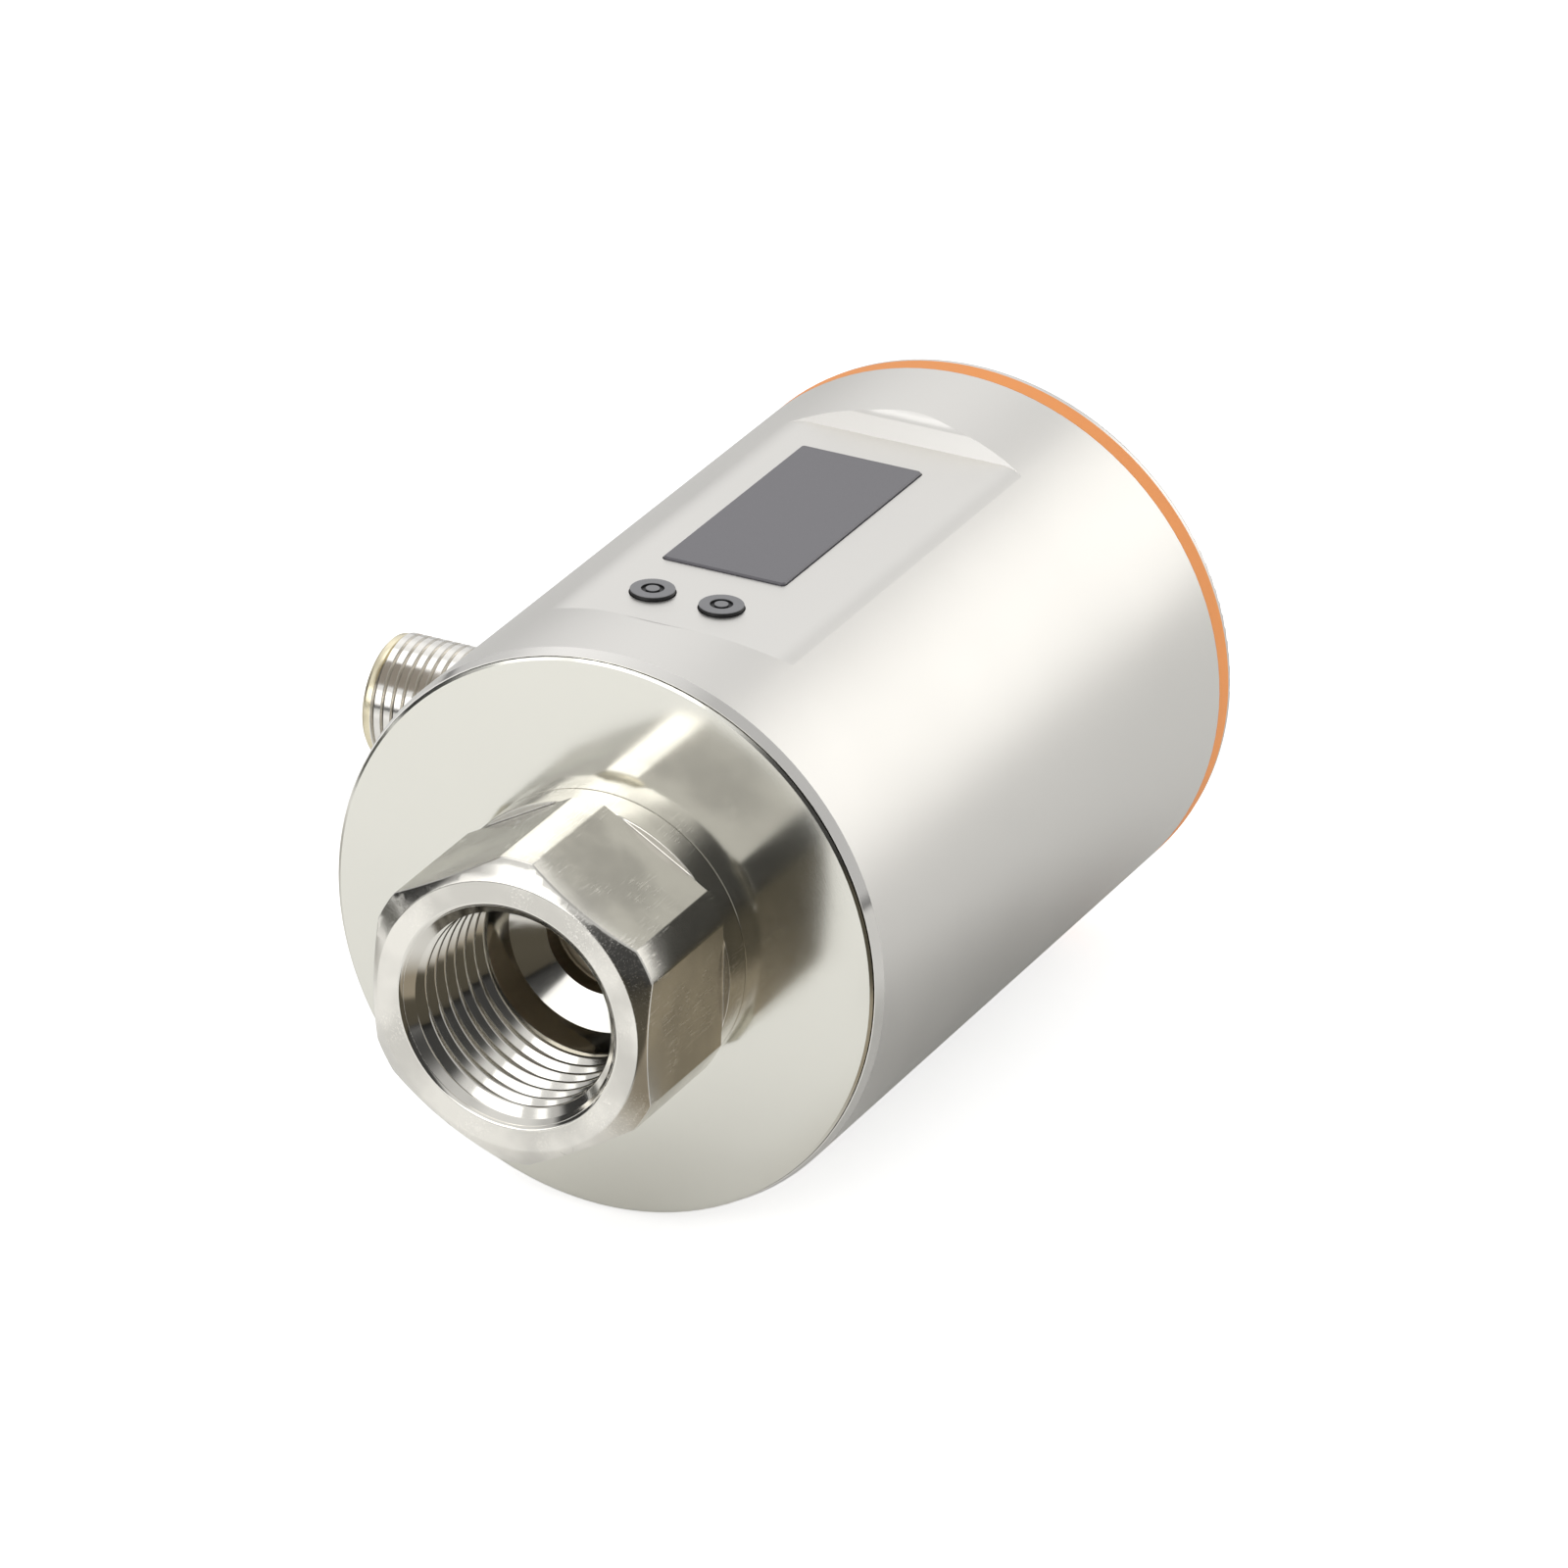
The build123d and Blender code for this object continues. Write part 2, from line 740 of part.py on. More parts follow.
# Display carrier: the frame that holds the module, the window's flange and the two switches in line
carrier_top = window_bottom
with BuildPart() as display_carrier:
    with BuildSketch(Plane.XY.offset(board_top)):
        with Locations((panel_middle, 0)):
            Rectangle(board_length, display_board_width)
            with GridLocations(board_length - 2 * screw_inset, rail_spacing, 2, 2):
                Circle(screw_head_radius + module_gap, mode=Mode.SUBTRACT)
        with Locations((window_x, window_aside)):
            Rectangle(
                window_length + 2 * module_gap,
                window_width + 2 * module_gap,
                mode=Mode.SUBTRACT,
            )
        with Locations(*[(button_x, y) for y in button_places.values()]):
            Rectangle(
                switch_size + 2 * module_gap,
                switch_size + 2 * module_gap,
                mode=Mode.SUBTRACT,
            )
            Circle(button_flange_radius + module_gap, mode=Mode.SUBTRACT)
    extrude(amount=carrier_top - board_top)
save(display_carrier, "display_carrier")

# Display window: a clear pane that stands a little proud of the panel, with a hidden flange
with BuildPart() as display_window:
    with BuildSketch(Plane.XY.offset(window_bottom)):
        with Locations((window_x, window_aside)):
            Rectangle(window_length + 2 * window_flange, window_width + 2 * window_flange)
    extrude(amount=window_flange_thickness)
    with BuildSketch(Plane.XY.offset(window_underside)):
        with Locations((window_x, window_aside)):
            RectangleRounded(window_length, window_width, window_corner)
    extrude(amount=panel_height + window_proud - window_underside)
    chamfer(display_window.faces().sort_by(Axis.Z)[-1].edges(), window_proud / 2)
save(display_window, "display_window")

# Window gasket: the glued seal between the window's flange and the shell
with BuildPart() as window_gasket:
    with BuildSketch(Plane.XY.offset(window_underside)):
        with Locations((window_x, window_aside)):
            Rectangle(window_length + 2 * window_flange, window_width + 2 * window_flange)
            RectangleRounded(
                window_length + 2 * window_gap,
                window_width + 2 * window_gap,
                window_corner + window_gap,
                mode=Mode.SUBTRACT,
            )
    extrude(amount=gasket_thickness)
save(window_gasket, "window_gasket")


def push_button(side, aside):
    """A round push button held by its flange under the shell, and the switch that it presses."""
    flange_top = panel_underside - button_flange_clearance
    stem_end = board_top + switch_height + plunger_length / 2
    cap_top = panel_height + button_proud
    with BuildPart() as cap:
        with BuildSketch(Plane.XY.offset(stem_end)):
            with Locations((button_x, aside)):
                Circle(plunger_radius)
        extrude(amount=flange_top - stem_end)
        with BuildSketch(Plane.XY.offset(flange_top - button_flange_thickness)):
            with Locations((button_x, aside)):
                Circle(button_flange_radius)
        extrude(amount=button_flange_thickness)
        with BuildSketch(Plane.XY.offset(flange_top)):
            with Locations((button_x, aside)):
                Circle(button_radius)
        extrude(amount=cap_top - flange_top)
        fillet(cap.edges().group_by(Axis.Z)[-1], button_gap)
        with BuildSketch(Plane.XY.offset(cap_top)):
            with Locations((button_x, aside)):
                Circle(button_ring_radius + button_ring_width / 2)
                Circle(button_ring_radius - button_ring_width / 2, mode=Mode.SUBTRACT)
        extrude(amount=-button_ring_depth, mode=Mode.SUBTRACT)
    save(cap, f"button_{side}")

    with BuildPart() as plunger:
        with BuildSketch(Plane.XY.offset(stem_end)):
            with Locations((button_x, aside)):
                Circle(plunger_radius)
        extrude(amount=-plunger_length)
    save(plunger, f"switch_plunger_{side}")

    with BuildPart() as switch:
        with BuildSketch(Plane.XY.offset(board_top)):
            with Locations((button_x, aside)):
                Rectangle(switch_size, switch_size)
        extrude(amount=switch_height)
        with BuildSketch(Plane.XY.offset(stem_end - plunger_length - button_travel - plunger_gap)):
            with Locations((button_x, aside)):
                Circle(plunger_radius + plunger_gap)
        extrude(amount=switch_height + plunger_length, mode=Mode.SUBTRACT)
    save(switch, f"switch_{side}")


for side, aside in button_places.items():
    push_button(side, aside)

# Places across the connector
connector_flange_front = connector_boss_face - connector_seat_gap
connector_flange_back = connector_flange_front - connector_flange
connector_face = connector_tip - connector_depth
connector_neck_stop = body_radius + connector_neck_end
connector_section = Plane(origin=(connector_x, 0, 0), x_dir=(0, 1, 0), z_dir=(0, 0, -1))
connector_axis = Axis((connector_x, 0, 0), (0, 1, 0))
seal_ring_radius = (connector_radius + connector_flange_radius) / 2
seal_groove_half = connector_seal_cord + cord_gap

# Connector shell: the threaded plug body, held by a flange inside the housing
with BuildPart() as connector_shell:
    with BuildSketch(connector_section):
        with BuildLine():
            Polyline(
                (connector_flange_back, connector_bore),
                (connector_flange_back, connector_flange_radius),
                (connector_flange_front, connector_flange_radius),
                (connector_flange_front, seal_ring_radius + seal_groove_half),
                (connector_flange_front - 2 * seal_groove_half, seal_ring_radius + seal_groove_half),
                (connector_flange_front - 2 * seal_groove_half, seal_ring_radius - seal_groove_half),
                (connector_flange_front, seal_ring_radius - seal_groove_half),
                (connector_flange_front, connector_neck),
                (connector_neck_stop, connector_neck),
                (connector_neck_stop, connector_radius),
                (connector_tip - connector_bevel_length, connector_radius),
                (connector_tip, connector_radius - connector_bevel),
                (connector_tip, connector_bore),
                close=True,
            )
        make_face()
    revolve(axis=connector_axis)
    with BuildSketch(Plane.XZ.offset(-connector_face)):
        with Locations((connector_x, connector_bore - connector_key_height / 2)):
            Rectangle(connector_key_width, connector_key_height + connector_insert_gap)
    extrude(amount=-(connector_depth - pin_setback))
save(connector_shell, "connector_shell")

# Connector insert: the moulded pin carrier
with BuildPart() as connector_insert:
    with BuildSketch(Plane.XZ.offset(-connector_flange_back)):
        with Locations((connector_x, 0)):
            Circle(connector_bore - connector_insert_gap)
            with PolarLocations(pin_circle, pin_count):
                Circle(pin_radius + connector_insert_gap, mode=Mode.SUBTRACT)
    extrude(amount=-(connector_face - connector_flange_back))
save(connector_insert, "connector_insert")

# Connector pins: four round contacts
with BuildPart() as connector_pins:
    with BuildSketch(Plane.XZ.offset(-(connector_flange_back - pin_tail))):
        with Locations((connector_x, 0)):
            with PolarLocations(pin_circle, pin_count):
                Circle(pin_radius)
    extrude(amount=-(connector_tip - pin_setback - connector_flange_back + pin_tail))
    fillet(connector_pins.edges().group_by(Axis.Y)[-1], pin_radius / 2)
save(connector_pins, "connector_pins")

cord_seal(
    "connector_seal",
    (connector_x, connector_flange_front - seal_groove_half, 0),
    (0, 1, 0),
    seal_ring_radius,
    connector_seal_cord,
)
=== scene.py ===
"""Dresses a compact electromagnetic flow meter: fittings, formed shell, display and connector."""

import json
import math
from contextlib import contextmanager

import bmesh
import bpy
from mathutils import Matrix, Vector


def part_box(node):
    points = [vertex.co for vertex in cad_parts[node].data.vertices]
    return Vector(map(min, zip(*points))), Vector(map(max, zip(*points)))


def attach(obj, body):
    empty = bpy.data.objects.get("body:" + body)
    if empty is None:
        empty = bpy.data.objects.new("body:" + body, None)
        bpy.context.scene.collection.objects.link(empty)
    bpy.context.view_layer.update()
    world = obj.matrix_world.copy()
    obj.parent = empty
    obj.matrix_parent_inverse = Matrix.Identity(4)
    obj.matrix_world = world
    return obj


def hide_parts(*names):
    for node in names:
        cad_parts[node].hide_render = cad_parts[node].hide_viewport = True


bl_info = {
    "name": "Flow meter",
    "version": (1, 0, 0),
    "blender": (4, 5, 0),
    "location": "3D View > Sidebar > Flow meter",
    "description": "Dresses a compact in-line electromagnetic flow meter and sets its studio",
    "category": "Object",
}

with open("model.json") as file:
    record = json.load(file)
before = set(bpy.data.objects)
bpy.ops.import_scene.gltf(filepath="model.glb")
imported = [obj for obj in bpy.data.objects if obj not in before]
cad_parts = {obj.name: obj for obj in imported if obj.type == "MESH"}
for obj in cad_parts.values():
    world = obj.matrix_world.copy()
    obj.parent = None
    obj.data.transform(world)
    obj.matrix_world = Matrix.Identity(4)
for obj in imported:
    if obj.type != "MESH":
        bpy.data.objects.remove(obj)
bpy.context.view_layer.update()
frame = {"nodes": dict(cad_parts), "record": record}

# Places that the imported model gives, in metres
INLET_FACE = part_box("inlet_fitting")[0].x
OUTLET_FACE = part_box("outlet_fitting")[1].x
MIDDLE = (INLET_FACE + OUTLET_FACE) / 2
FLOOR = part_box("housing_shell")[0].z
SHELL_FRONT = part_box("housing_shell")[0].x
BUTTON_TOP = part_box("button_left")[1].z
CONNECTOR_LOW, CONNECTOR_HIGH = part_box("connector_pins")
CONNECTOR_X = (CONNECTOR_LOW.x + CONNECTOR_HIGH.x) / 2
CONNECTOR_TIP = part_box("connector_shell")[1].y

# The photograph's camera, in metres from the inlet's face
CAMERA_PLACE = (-0.86533, -0.45131, 0.49109)
CAMERA_TURN = (
    (0.44955, 0.37805, -0.80932), (-0.89303, 0.21100, -0.39747), (0.02050, 0.90144, 0.43245))

# Vertices closer than this are one
TOUCHING = 1e-7

# Soft noise lies nearly always between these two
NOISE_LOW, NOISE_HIGH = 0.3, 0.7

# One pitch of a thread, as pairs of a share of the pitch and a share of the depth
ROUNDED_THREAD = (
    (0.0, 0.0), (0.06, 0.04), (0.11, 0.13), (0.39, 0.87), (0.44, 0.96), (0.5, 1.0),
    (0.56, 0.96), (0.61, 0.87), (0.89, 0.13), (0.94, 0.04), (1.0, 0.0),
)
FLAT_THREAD = (
    (0.0, 0.0), (0.05, 0.0), (0.16, 0.9), (0.19, 1.0),
    (0.81, 1.0), (0.84, 0.9), (0.95, 0.0), (1.0, 0.0),
)

# What metal sees of the floor, a painted reflection: its own paint, then patches of painted shade
# and of the object's painted shadow on it, each with two corners in metres, the width of its soft
# border and its colour
FLOOR_PAINT = (0.95, 0.95, 0.94)
FLOOR_PAINTED_SHADE = (
    ((0.04, -3.0), (3.0, 3.0), 0.03, (0.68, 0.68, 0.67)),
    ((-0.02, 0.075), (0.10, 0.12), 0.025, (0.50, 0.49, 0.47)),
    ((-0.25, 0.17), (0.15, 0.60), 0.03, (0.12, 0.12, 0.11)),
    ((0.03, -0.075), (0.09, 0.01), 0.025, (0.46, 0.46, 0.45)),
    ((-0.60, 0.085), (-0.10, 0.16), 0.025, (0.74, 0.74, 0.73)),
    ((-3.0, 0.20), (-0.45, 1.40), 0.02, (0.03, 0.03, 0.03)),
    ((-3.0, -3.0), (0.008, -0.016), 0.010, (0.36, 0.315, 0.245)),
    ((-3.0, -3.0), (-0.034, -0.004), 0.004, (0.09, 0.08, 0.06)),
)

# Bright and dark parts of the room: the direction, the light added or the share taken away, and
# the angles in degrees from the direction at which the part begins and is full
ROOM_LIGHT = 0.60
BRIGHT_PARTS = (
    ((0.45, 0.42, 0.79), 0.30, 34, 12),
    ((0.81, 0.40, 0.43), 0.25, 35, 10),
    ((-0.81, -0.10, 0.58), 0.24, 24, 8),
    ((-0.55, 0.40, 0.73), 0.30, 30, 12),
)
DARK_PARTS = (
    ((-0.86, -0.50, 0.10), 0.90, 35, 22),
    ((-0.17, 0.98, 0.05), 0.92, 27, 20),
    ((-0.92, 0.39, 0.01), 0.90, 9, 4),
)


class FlowMeterSizes(bpy.types.PropertyGroup):
    """Sizes of the dressed details"""

    pipe_root: bpy.props.FloatProperty(
        name="Pipe thread root", description="Radius at the bottom of the pipe thread",
        default=0.01044, precision=5, unit="LENGTH")
    pipe_crest: bpy.props.FloatProperty(
        name="Pipe thread crest", description="Radius at the top of the pipe thread",
        default=0.00932, precision=5, unit="LENGTH")
    pipe_pitch: bpy.props.FloatProperty(
        name="Pipe thread pitch", description="Distance between two turns of the pipe thread",
        default=0.001814, precision=6, unit="LENGTH")
    pipe_mouth: bpy.props.FloatProperty(
        name="Pipe thread mouth", description="Radius of the mouth's cone at the fitting's face",
        default=0.01074, precision=5, unit="LENGTH")
    pipe_depth: bpy.props.FloatProperty(
        name="Pipe thread depth", description="Distance from the face to the relief",
        default=0.01358, precision=6, unit="LENGTH")
    connector_crest: bpy.props.FloatProperty(
        name="Connector thread crest", description="Radius at the top of the connector's thread",
        default=0.0060, precision=5, unit="LENGTH")
    connector_root: bpy.props.FloatProperty(
        name="Connector thread root", description="Radius at the bottom of the connector's thread",
        default=0.00540, precision=5, unit="LENGTH")
    connector_pitch: bpy.props.FloatProperty(
        name="Connector thread pitch",
        description="Distance between two turns of the connector's thread",
        default=0.001, precision=5, unit="LENGTH")
    tip_length: bpy.props.FloatProperty(
        name="Connector end ring",
        description="Length of the pale gold ring at the connector's end",
        default=0.0011, precision=5, unit="LENGTH")
    rim_bevel: bpy.props.FloatProperty(
        name="Polished rim", description="Length of the bright bevel at the front of the shell",
        default=0.0012, precision=5, unit="LENGTH")
    edge_break: bpy.props.FloatProperty(
        name="Edge break", description="Width of the broken edges on the machined fittings",
        default=0.00014, precision=5, unit="LENGTH")


class FlowMeterColours(bpy.types.PropertyGroup):
    """Colours of the visible finishes"""

    shell: bpy.props.FloatVectorProperty(
        name="Shell", description="Satin steel of the shell", subtype="COLOR", size=3,
        default=(0.78, 0.765, 0.735))
    plate: bpy.props.FloatVectorProperty(
        name="End plates", description="Turned steel of the end plates", subtype="COLOR", size=3,
        default=(0.76, 0.75, 0.69))
    fitting: bpy.props.FloatVectorProperty(
        name="Fittings", description="Machined steel of the pipe fittings", subtype="COLOR", size=3,
        default=(0.75, 0.73, 0.68))
    accent: bpy.props.FloatVectorProperty(
        name="Accent ring", description="Orange plastic of the ring", subtype="COLOR", size=3,
        default=(0.97, 0.38, 0.13))
    pane: bpy.props.FloatVectorProperty(
        name="Window", description="Smoked pane over the display", subtype="COLOR", size=3,
        default=(0.13, 0.125, 0.14))
    button: bpy.props.FloatVectorProperty(
        name="Buttons", description="Grey tops of the push buttons", subtype="COLOR", size=3,
        default=(0.24, 0.24, 0.25))
    nickel: bpy.props.FloatVectorProperty(
        name="Connector", description="Nickel plating of the connector", subtype="COLOR", size=3,
        default=(0.86, 0.84, 0.80))
    gold: bpy.props.FloatVectorProperty(
        name="Connector end ring", description="Pale gold of the connector's end ring",
        subtype="COLOR", size=3, default=(0.92, 0.84, 0.62))


class Value:
    """A shader socket that Python's arithmetic turns into Math nodes."""

    def __init__(self, board, socket):
        self.board = board
        self.socket = socket

    def math(self, operation, *values):
        """One Math node on these values."""
        return self.board.node("ShaderNodeMath", {"operation": operation}, dict(enumerate(values)))

    def __add__(self, other):
        return self.math("ADD", self, other)

    def __radd__(self, other):
        return self.math("ADD", other, self)

    def __sub__(self, other):
        return self.math("SUBTRACT", self, other)

    def __rsub__(self, other):
        return self.math("SUBTRACT", other, self)

    def __mul__(self, other):
        return self.math("MULTIPLY", self, other)

    def __rmul__(self, other):
        return self.math("MULTIPLY", other, self)


class Board:
    """A node tree and the few ways in which this file adds to it."""

    def __init__(self, tree):
        self.tree = tree
        tree.nodes.clear()

    def node(self, kind, settings=None, values=None, output=0):
        """Adds a node, sets it up, fills or links its sockets and returns one of its outputs."""
        made = self.tree.nodes.new(kind)
        for key, value in (settings or {}).items():
            setattr(made, key, value)
        for key, value in (values or {}).items():
            if isinstance(value, Value):
                self.tree.links.new(value.socket, made.inputs[key])
            else:
                made.inputs[key].default_value = value
        return Value(self, made.outputs[output]) if made.outputs else None

    def place(self, stretch=(1, 1, 1), turn=(0, 0, 0)):
        """The piece's own coordinates, stretched and turned."""
        own = self.node("ShaderNodeTexCoord", output="Object")
        return self.node(
            "ShaderNodeMapping", {"vector_type": "POINT"},
            {"Vector": own, "Scale": stretch, "Rotation": turn})

    def noise(self, place, scale, detail=2.0, roughness=0.5):
        """Soft noise from 0 to 1."""
        return self.node(
            "ShaderNodeTexNoise", {},
            {"Vector": place, "Scale": scale, "Detail": detail, "Roughness": roughness})

    def axis(self, place, name):
        """One coordinate of a place."""
        return self.node("ShaderNodeSeparateXYZ", {}, {"Vector": place}, output=name)

    def spread(self, value, low, high, out_low=0.0, out_high=1.0):
        """A value's range made another range, held at both ends."""
        return self.node(
            "ShaderNodeMapRange", {"interpolation_type": "SMOOTHSTEP"},
            {"Value": value, "From Min": low, "From Max": high,
             "To Min": out_low, "To Max": out_high})

    def drift(self, noise, low, high):
        """A value that drifts between two as soft noise does."""
        return self.spread(noise, NOISE_LOW, NOISE_HIGH, low, high)

    def blend(self, share, first, second):
        """A colour between two."""
        return self.node(
            "ShaderNodeMix", {"data_type": "RGBA"},
            {0: share, 6: self.colour(first), 7: self.colour(second)}, output=2)

    def colour(self, value):
        """A plain colour with its alpha, or a link as it is."""
        return value if isinstance(value, Value) else (*tuple(value)[:3], 1)

    def radius(self, place):
        """The distance from the pipe axis."""
        flat = self.node(
            "ShaderNodeVectorMath", {"operation": "MULTIPLY"}, {0: place, 1: (0, 1, 1)})
        return self.node("ShaderNodeVectorMath", {"operation": "LENGTH"}, {0: flat}, output="Value")

    def bump(self, height, strength, distance):
        """A bump as high as the distance in metres."""
        return self.node(
            "ShaderNodeBump", {}, {"Height": height, "Strength": strength, "Distance": distance})


def finished(name, build, **constants):
    """A material with constants on its shader; build adds what changes over the surface."""
    material = bpy.data.materials.new(name)
    material.use_nodes = True
    board = Board(material.node_tree)
    values = dict(constants)
    values.update(build(board))
    surface = board.node("ShaderNodeBsdfPrincipled", {}, values)
    board.node("ShaderNodeOutputMaterial", {}, {"Surface": surface})
    return material


def scaled(colour, share):
    """A colour made lighter or darker."""
    return tuple(min(1.0, part * share) for part in tuple(colour)[:3])


def satin_steel(colour, rim_end):
    """Fine blasted steel with faint grinding rings round the pipe axis, polished up to rim_end."""
    soft = 0.00003

    def build(board):
        place = board.place()
        satin = board.spread(board.axis(place, "X"), rim_end - soft, rim_end + soft)
        grain = board.noise(place, scale=5200, detail=2)
        rings = board.noise(board.place(stretch=(1, 0.02, 0.02)), scale=2600, detail=1)
        cloud = board.noise(place, scale=45, detail=3)
        return {
            "Base Color": board.blend(cloud, scaled(colour, 0.97), scaled(colour, 1.03)),
            "Roughness": 0.11 + satin * (board.drift(cloud, 0.22, 0.27) + 0.06 * grain),
            "Normal": board.bump(satin * (grain + 0.5 * rings), strength=0.22, distance=0.000012),
        }
    return finished("satin_steel", build, Metallic=1.0)


def turned_steel(name, colour, roughness, strength):
    """Steel faced on a lathe: fine grooves round the pipe axis, softly polished."""
    def build(board):
        place = board.place()
        radius = board.radius(place)
        ring = board.node("ShaderNodeCombineXYZ", {}, {"X": radius, "Y": 0.0, "Z": 0.0})
        grooves = board.noise(ring, scale=9000, detail=2)
        cloud = board.noise(place, scale=70, detail=3)
        grain = board.noise(place, scale=4200, detail=2)
        return {
            "Base Color": board.blend(cloud, scaled(colour, 0.97), scaled(colour, 1.02)),
            "Roughness": board.drift(cloud, roughness - 0.02, roughness + 0.03) + 0.04 * grain,
            "Normal": board.bump(grooves, strength=strength, distance=0.000004),
        }
    return finished(name, build, Metallic=1.0)


def milled_steel(colour):
    """The hexagon's steel: fine milling lines, soft stains and clusters of bright scratches."""
    def build(board):
        place = board.place()
        lines = board.noise(board.place(stretch=(0.05, 1, 1)), scale=9000, detail=2)
        slanted = board.place(stretch=(0.10, 1, 1), turn=(0.3, 0.5, 0.9))
        scratches = board.spread(board.noise(slanted, scale=6000, detail=2), 0.55, 0.66)
        crossed = board.place(stretch=(1, 0.10, 0.14), turn=(0.4, -0.3, 0.5))
        crossing = board.spread(board.noise(crossed, scale=5000, detail=2), 0.64, 0.72)
        cluster = board.spread(board.noise(place, scale=190, detail=1), 0.46, 0.62)
        marks = cluster * (scratches + 0.6 * crossing)
        stain = board.spread(board.noise(place, scale=130, detail=3), 0.35, 0.65)
        tone = board.blend(stain, scaled(colour, 0.82), scaled(colour, 1.10))
        return {
            "Base Color": board.blend(0.6 * marks, tone, scaled(colour, 1.3)),
            "Roughness": board.spread(stain, 0.0, 1.0, 0.19, 0.15) + 0.10 * marks,
            "Normal": board.bump(0.3 * lines + marks, strength=0.4, distance=0.000005),
        }
    return finished("milled_steel", build, Metallic=1.0)


def cut_steel(colour):
    """Bright cut steel of a screw thread, with drag marks along its turns."""
    def build(board):
        place = board.place()
        radius = board.radius(place)
        along = board.axis(place, "X")
        pair = board.node("ShaderNodeCombineXYZ", {}, {"X": radius, "Y": along, "Z": 0.0})
        drag = board.noise(pair, scale=12000, detail=2)
        cloud = board.noise(place, scale=200, detail=3)
        return {
            "Base Color": board.blend(cloud, scaled(colour, 0.94), scaled(colour, 1.04)),
            "Roughness": board.drift(cloud, 0.08, 0.12),
            "Normal": board.bump(drag, strength=0.12, distance=0.000003),
        }
    return finished("cut_steel", build, Metallic=1.0)


def plain_metal(name, colour, roughness, grain=1800.0):
    """A plain worked metal: fine grain and a slightly clouded polish."""
    def build(board):
        place = board.place()
        texture = board.noise(place, scale=grain, detail=3)
        cloud = board.noise(place, scale=150, detail=3)
        return {
            "Base Color": board.blend(cloud, scaled(colour, 0.92), scaled(colour, 1.05)),
            "Roughness": board.drift(cloud, roughness - 0.04, roughness + 0.05),
            "Normal": board.bump(texture, strength=0.2, distance=0.000006),
        }
    return finished(name, build, Metallic=1.0)


def moulded(name, colour, roughness, grain, depth, coat=0.0, shine=0.5):
    """Moulded plastic or rubber: spark eroded grain, with soft clouds of gloss."""
    def build(board):
        place = board.place()
        pits = board.noise(place, scale=grain, detail=3)
        cloud = board.noise(place, scale=160, detail=2)
        return {
            "Base Color": board.blend(cloud, scaled(colour, 0.94), scaled(colour, 1.06)),
            "Roughness": board.drift(cloud, roughness - 0.04, roughness + 0.05),
            "Normal": board.bump(pits, strength=0.35, distance=depth),
        }
    return finished(
        name, build, **{"Coat Weight": coat, "Coat Roughness": 0.12, "Specular IOR Level": shine})


def button_plastic(colour):
    """The buttons' grained grey top; below it the sides and the floor of the sunk ring are painted
    near black, as painted shade of the gap round the button and of the ring, and a painted dark
    reflection on the sides.
    """
    # Below this height the colour is painted near black: painted shade of the gap round the button
    # and inside the sunk ring
    painted_shade_top = BUTTON_TOP - 0.00008
    cap_bottom = BUTTON_TOP - 0.00004

    def build(board):
        place = board.place()
        top = board.spread(board.axis(place, "Z"), painted_shade_top, cap_bottom)
        grain = board.noise(place, scale=4500, detail=3)
        cloud = board.noise(place, scale=300, detail=2)
        return {
            # Near black below the cap's edge: painted shade in the gap and the sunk ring, and a
            # painted dark reflection on the sides
            "Base Color": board.blend(top, (0.012, 0.012, 0.013), colour),
            "Roughness": board.drift(cloud, 0.42, 0.52),
            "Normal": board.bump(grain, strength=0.3, distance=0.000008),
        }
    return finished("button_plastic", build)


def wound_wire():
    """Enamelled copper wire, wound in close turns round the coil's upright axis, with painted shade
    darkening the groove between turns.
    """
    wire_radius = 0.000125

    def build(board):
        place = board.place()
        height = board.axis(place, "Z")
        turns = board.node("ShaderNodeMath", {"operation": "PINGPONG"}, {0: height, 1: wire_radius})
        crest_height_and_groove_shade = board.spread(turns * (1 / wire_radius), 0.0, 1.0)
        cloud = board.noise(place, scale=300, detail=2)
        return {
            # Darker towards the groove between turns: painted shade; the same profile also drives
            # the bump
            "Base Color": board.blend(crest_height_and_groove_shade, (0.22, 0.055, 0.02), (0.72, 0.26, 0.1)),
            "Roughness": board.drift(cloud, 0.24, 0.34),
            "Normal": board.bump(crest_height_and_groove_shade, strength=0.8, distance=0.00006),
        }
    return finished("wound_wire", build, Metallic=0.85)


def laminate():
    """Circuit board laminate: green mask over a plain grid of tracks, with the weave visible."""
    def build(board):
        place = board.place()
        tracks = board.node(
            "ShaderNodeTexBrick", {"offset": 0.5, "squash": 1.0},
            {"Vector": place, "Scale": 520.0, "Mortar Size": 0.035, "Mortar Smooth": 0.2,
             "Brick Width": 1.4, "Row Height": 0.55}, output="Fac")
        weave = board.node(
            "ShaderNodeTexWave", {"wave_type": "BANDS", "bands_direction": "DIAGONAL"},
            {"Vector": place, "Scale": 700.0, "Distortion": 0.4}, output="Fac")
        return {
            "Base Color": board.blend(tracks, (0.012, 0.085, 0.04), (0.03, 0.19, 0.085)),
            "Roughness": board.spread(weave, 0.0, 1.0, 0.3, 0.38),
            "Normal": board.bump(tracks + 0.15 * weave, strength=0.5, distance=0.00002),
        }
    return finished("laminate", build, **{"Coat Weight": 0.3, "Coat Roughness": 0.2})


